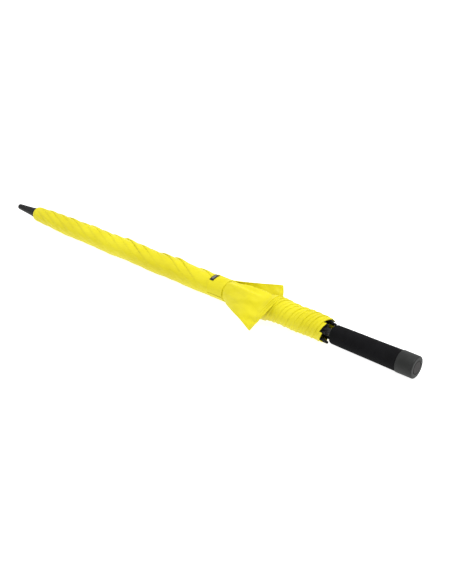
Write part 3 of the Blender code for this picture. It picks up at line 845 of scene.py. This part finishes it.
def stitches(name, start, end, radius, places, materials, body):
    """Two rows of short stitches standing just proud of a strap."""
    length, pitch, thick = STITCH_LENGTH, STITCH_PITCH, STITCH_THICKNESS
    points, faces = [], []
    for s in places:
        for angle in np.arange(start + pitch / radius, end - pitch / radius, pitch / radius):
            base = len(points)
            for along in (-0.5, -0.3, 0.3, 0.5):
                rise = thick if abs(along) < 0.4 else 0.0
                for across in (-1, 0, 1):
                    height = rise if across == 0 else -0.00005
                    point = world(s + strap_slant(angle) + across * thick, radius + height,
                                  angle + along * length / radius)
                    points.append(point.tolist())
            for k in range(3):
                for j in range(2):
                    corner = base + 3 * k + j
                    faces.append((corner, corner + 1, corner + 4, corner + 3))
    mesh = bpy.data.meshes.new(name)
    mesh.from_pydata(points, [], faces)
    mesh.uv_layers.new(name="cloth")
    mesh.shade_smooth()
    piece = bpy.data.objects.new(name, mesh)
    bpy.context.scene.collection.objects.link(piece)
    finish_piece(piece, materials["strap"], body)
    flatten_on_rib(piece)


def strap_part(name, span, radius, s_from, width, thickness, steps):
    start, end = (math.radians(angle) for angle in span)
    return band_piece(name, start, end, radius, s_from, width, thickness, steps)


def strap_pieces(materials):
    sewn = strap_part("strap_sewn_half", SEWN_SPAN, STRAP_RADIUS, STRAP_START, STRAP_WIDTH,
                      BAND_THICKNESS, 90)
    finish_piece(sewn, materials["strap"], "rib_5", ["strap"])
    flatten_on_rib(sewn)
    tail = strap_part("strap_closing_half", TAIL_SPAN, TAIL_RADIUS, STRAP_START, STRAP_WIDTH,
                      BAND_THICKNESS, 70)
    finish_piece(tail, materials["strap"], "strap_tail", ["strap_tail"])
    flatten_on_rib(tail)
    edges = (STRAP_START + SEAM_INSET, STRAP_START + STRAP_WIDTH - SEAM_INSET)
    start, end = (math.radians(angle) for angle in TAIL_SPAN)
    stitches("strap_stitching", start, end, TAIL_RADIUS + BAND_THICKNESS, edges, materials,
             "strap_tail")
    label = strap_part("strap_plain_label", LABEL_SPAN, LABEL_RADIUS, STRAP_START - 0.0002,
                       LABEL_WIDTH, 0.0005, 30)
    finish_piece(label, materials["label"], "strap_tail", ["strap_label"])
    flatten_on_rib(label)
    bar = strap_part("strap_label_bar", BAR_SPAN, LABEL_RADIUS + 0.00055, STRAP_START + 0.0033,
                     0.0015, 0.0002, 24)
    finish_piece(bar, materials["border"], "strap_tail")
    flatten_on_rib(bar)


# ---------------------------------------------------------------- hard pieces

def ferrule_piece(materials):
    profile = ([(0.0, 0.0)] + arc((0.0045, 0.0012), 0.0045, 180, 96, 10)
               + [(0.0080, 0.0060), (0.0468, 0.0090)]
               + [(0.0474, 0.0091), (0.0480, 0.0096)] + arc((0.0488, 0.0092), 0.0008, 180, 90, 4)
               + [(0.0530, 0.0100)] + arc((0.0532, 0.0093), 0.0007, 90, 0, 4) + [(0.0539, 0.0080)]
               + [(0.0539, 0.0)])
    piece = turned("ferrule_moulding", profile, 96)
    return finish_piece(piece, materials["plastic"], "shaft", ["ferrule"])


def grip_piece(materials):
    """The foam sleeve, with the slight hollows that a cut foam tube has."""
    low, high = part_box("foam_grip")
    start, end = low.x - TIP_X, high.x - TIP_X
    round_by = 0.0045
    first, last = 0.0170, (high.y - low.y) / 2
    body = np.linspace(start + round_by, end - 0.0015, 60)
    radius = np.interp(body, [start, end], [first, last])
    radius = radius + 0.00012 * np.sin((body - start) / 0.021)
    profile = ([(start, 0.0125)] + arc((start + round_by, first - round_by), round_by, 180, 92, 8)
               + [(float(s), float(r)) for s, r in zip(body, radius)]
               + arc((end - 0.0015, last - 0.0015), 0.0015, 80, 0, 4) + [(end, 0.0125)])
    piece = turned("foam_grip_sleeve", profile, 128)
    return finish_piece(piece, materials["foam"], "shaft", ["foam_grip"])


def cap_piece(materials):
    low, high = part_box("end_cap")
    start, end, radius = low.x - TIP_X, high.x - TIP_X, (high.y - low.y) / 2
    edge = 0.0025
    profile = ([(start, 0.0170), (start, radius - 0.0006)]
               + arc((start + 0.0006, radius - 0.0006), 0.0006, 170, 90, 4)
               + arc((end - edge, radius - edge), edge, 90, 0, 10)
               + [(end, 0.0124)] + arc((end - 0.0003, 0.0121), 0.0003, 90, 180, 3)
               + [(end - 0.0016, 0.0118), (end - 0.0016, 0.0)])
    piece = turned("end_cap_moulding", profile, 128)
    return finish_piece(piece, materials["cap"], "shaft", ["end_cap"])


def dress_frame(materials):
    """Gives every CAD piece that keeps its own shape a material, chosen by the start of its name."""
    kinds = {
        "shaft_tube": "fibre",
        "rib_tip": "plastic",
        "rib_clip": "plastic",
        "stretcher": "fibre",
        "runner": "plastic",
        "crown": "plastic",
        "canopy_washer": "plastic",
        "handle_core": "plastic",
        "end_disc": "disc",
        "top_catch": "steel",
        "catch_spring": "steel",
        "ring_wire": "steel",
        "rivet": "dark_metal",
        "rib": "fibre",
    }
    for name, node in frame["nodes"].items():
        if node.hide_render:
            continue
        key = next((k for k in ("ring_wire", "rivet") if k in name), None)
        key = key or next((k for k in kinds if name.startswith(k)), None)
        if key is None:
            continue
        node.data.materials.clear()
        node.data.materials.append(materials[kinds[key]])
        node.data.shade_smooth()
        node.data.set_sharp_from_angle(angle=math.radians(35))


# ---------------------------------------------------------------- stage

def add_camera():
    yaw, pitch = CAMERA_YAW, CAMERA_PITCH
    direction = Vector((math.sin(yaw) * math.cos(pitch), math.cos(yaw) * math.cos(pitch),
                        -math.sin(pitch)))
    data = bpy.data.cameras.new("camera")
    data.lens = CAMERA_LENS
    data.sensor_width = 36
    camera = bpy.data.objects.new("camera", data)
    camera.location = CAMERA_PLACE
    camera.rotation_euler = direction.to_track_quat("-Z", "Y").to_euler()
    bpy.context.scene.collection.objects.link(camera)
    bpy.context.scene.camera = camera


def add_light(name, place, size, power):
    data = bpy.data.lights.new(name, "AREA")
    data.shape = "DISK"
    data.size = size
    data.energy = power
    light = bpy.data.objects.new(name, data)
    light.location = place
    light.rotation_euler = (-Vector(place)).to_track_quat("-Z", "Y").to_euler()
    bpy.context.scene.collection.objects.link(light)


def add_stage():
    bpy.ops.mesh.primitive_plane_add(size=FLOOR_SIZE)
    floor = bpy.context.object
    floor.name = "floor"
    material = new_material("floor_white", (0.45, 0.45, 0.45, 1), 0.9, Specular_IOR_Level=0.0,
                            Emission_Color=(1, 1, 1, 1), Emission_Strength=FLOOR_GLOW)[0]
    floor.data.materials.append(material)
    world_data = bpy.data.worlds.new("studio")
    world_data.use_nodes = True
    world_data.node_tree.nodes["Background"].inputs["Color"].default_value = (1, 1, 1, 1)
    world_data.node_tree.nodes["Background"].inputs["Strength"].default_value = SKY_STRENGTH
    bpy.context.scene.world = world_data
    for name, place, size, power in LIGHTS:
        add_light(name, place, size, power)
    bpy.context.scene.view_settings.view_transform = "Standard"


# ---------------------------------------------------------------- the whole

def build():
    materials = make_materials()
    flaps = [flap_piece(number, materials) for number in range(1, RIB_COUNT + 1)]
    webs = [web_piece(number, materials) for number in range(1, RIB_COUNT + 1)]
    apex_piece(materials)
    strap_pieces(materials)
    ferrule_piece(materials)
    grip_piece(materials)
    cap_piece(materials)
    dress_frame(materials)


build()
add_camera()
add_stage()
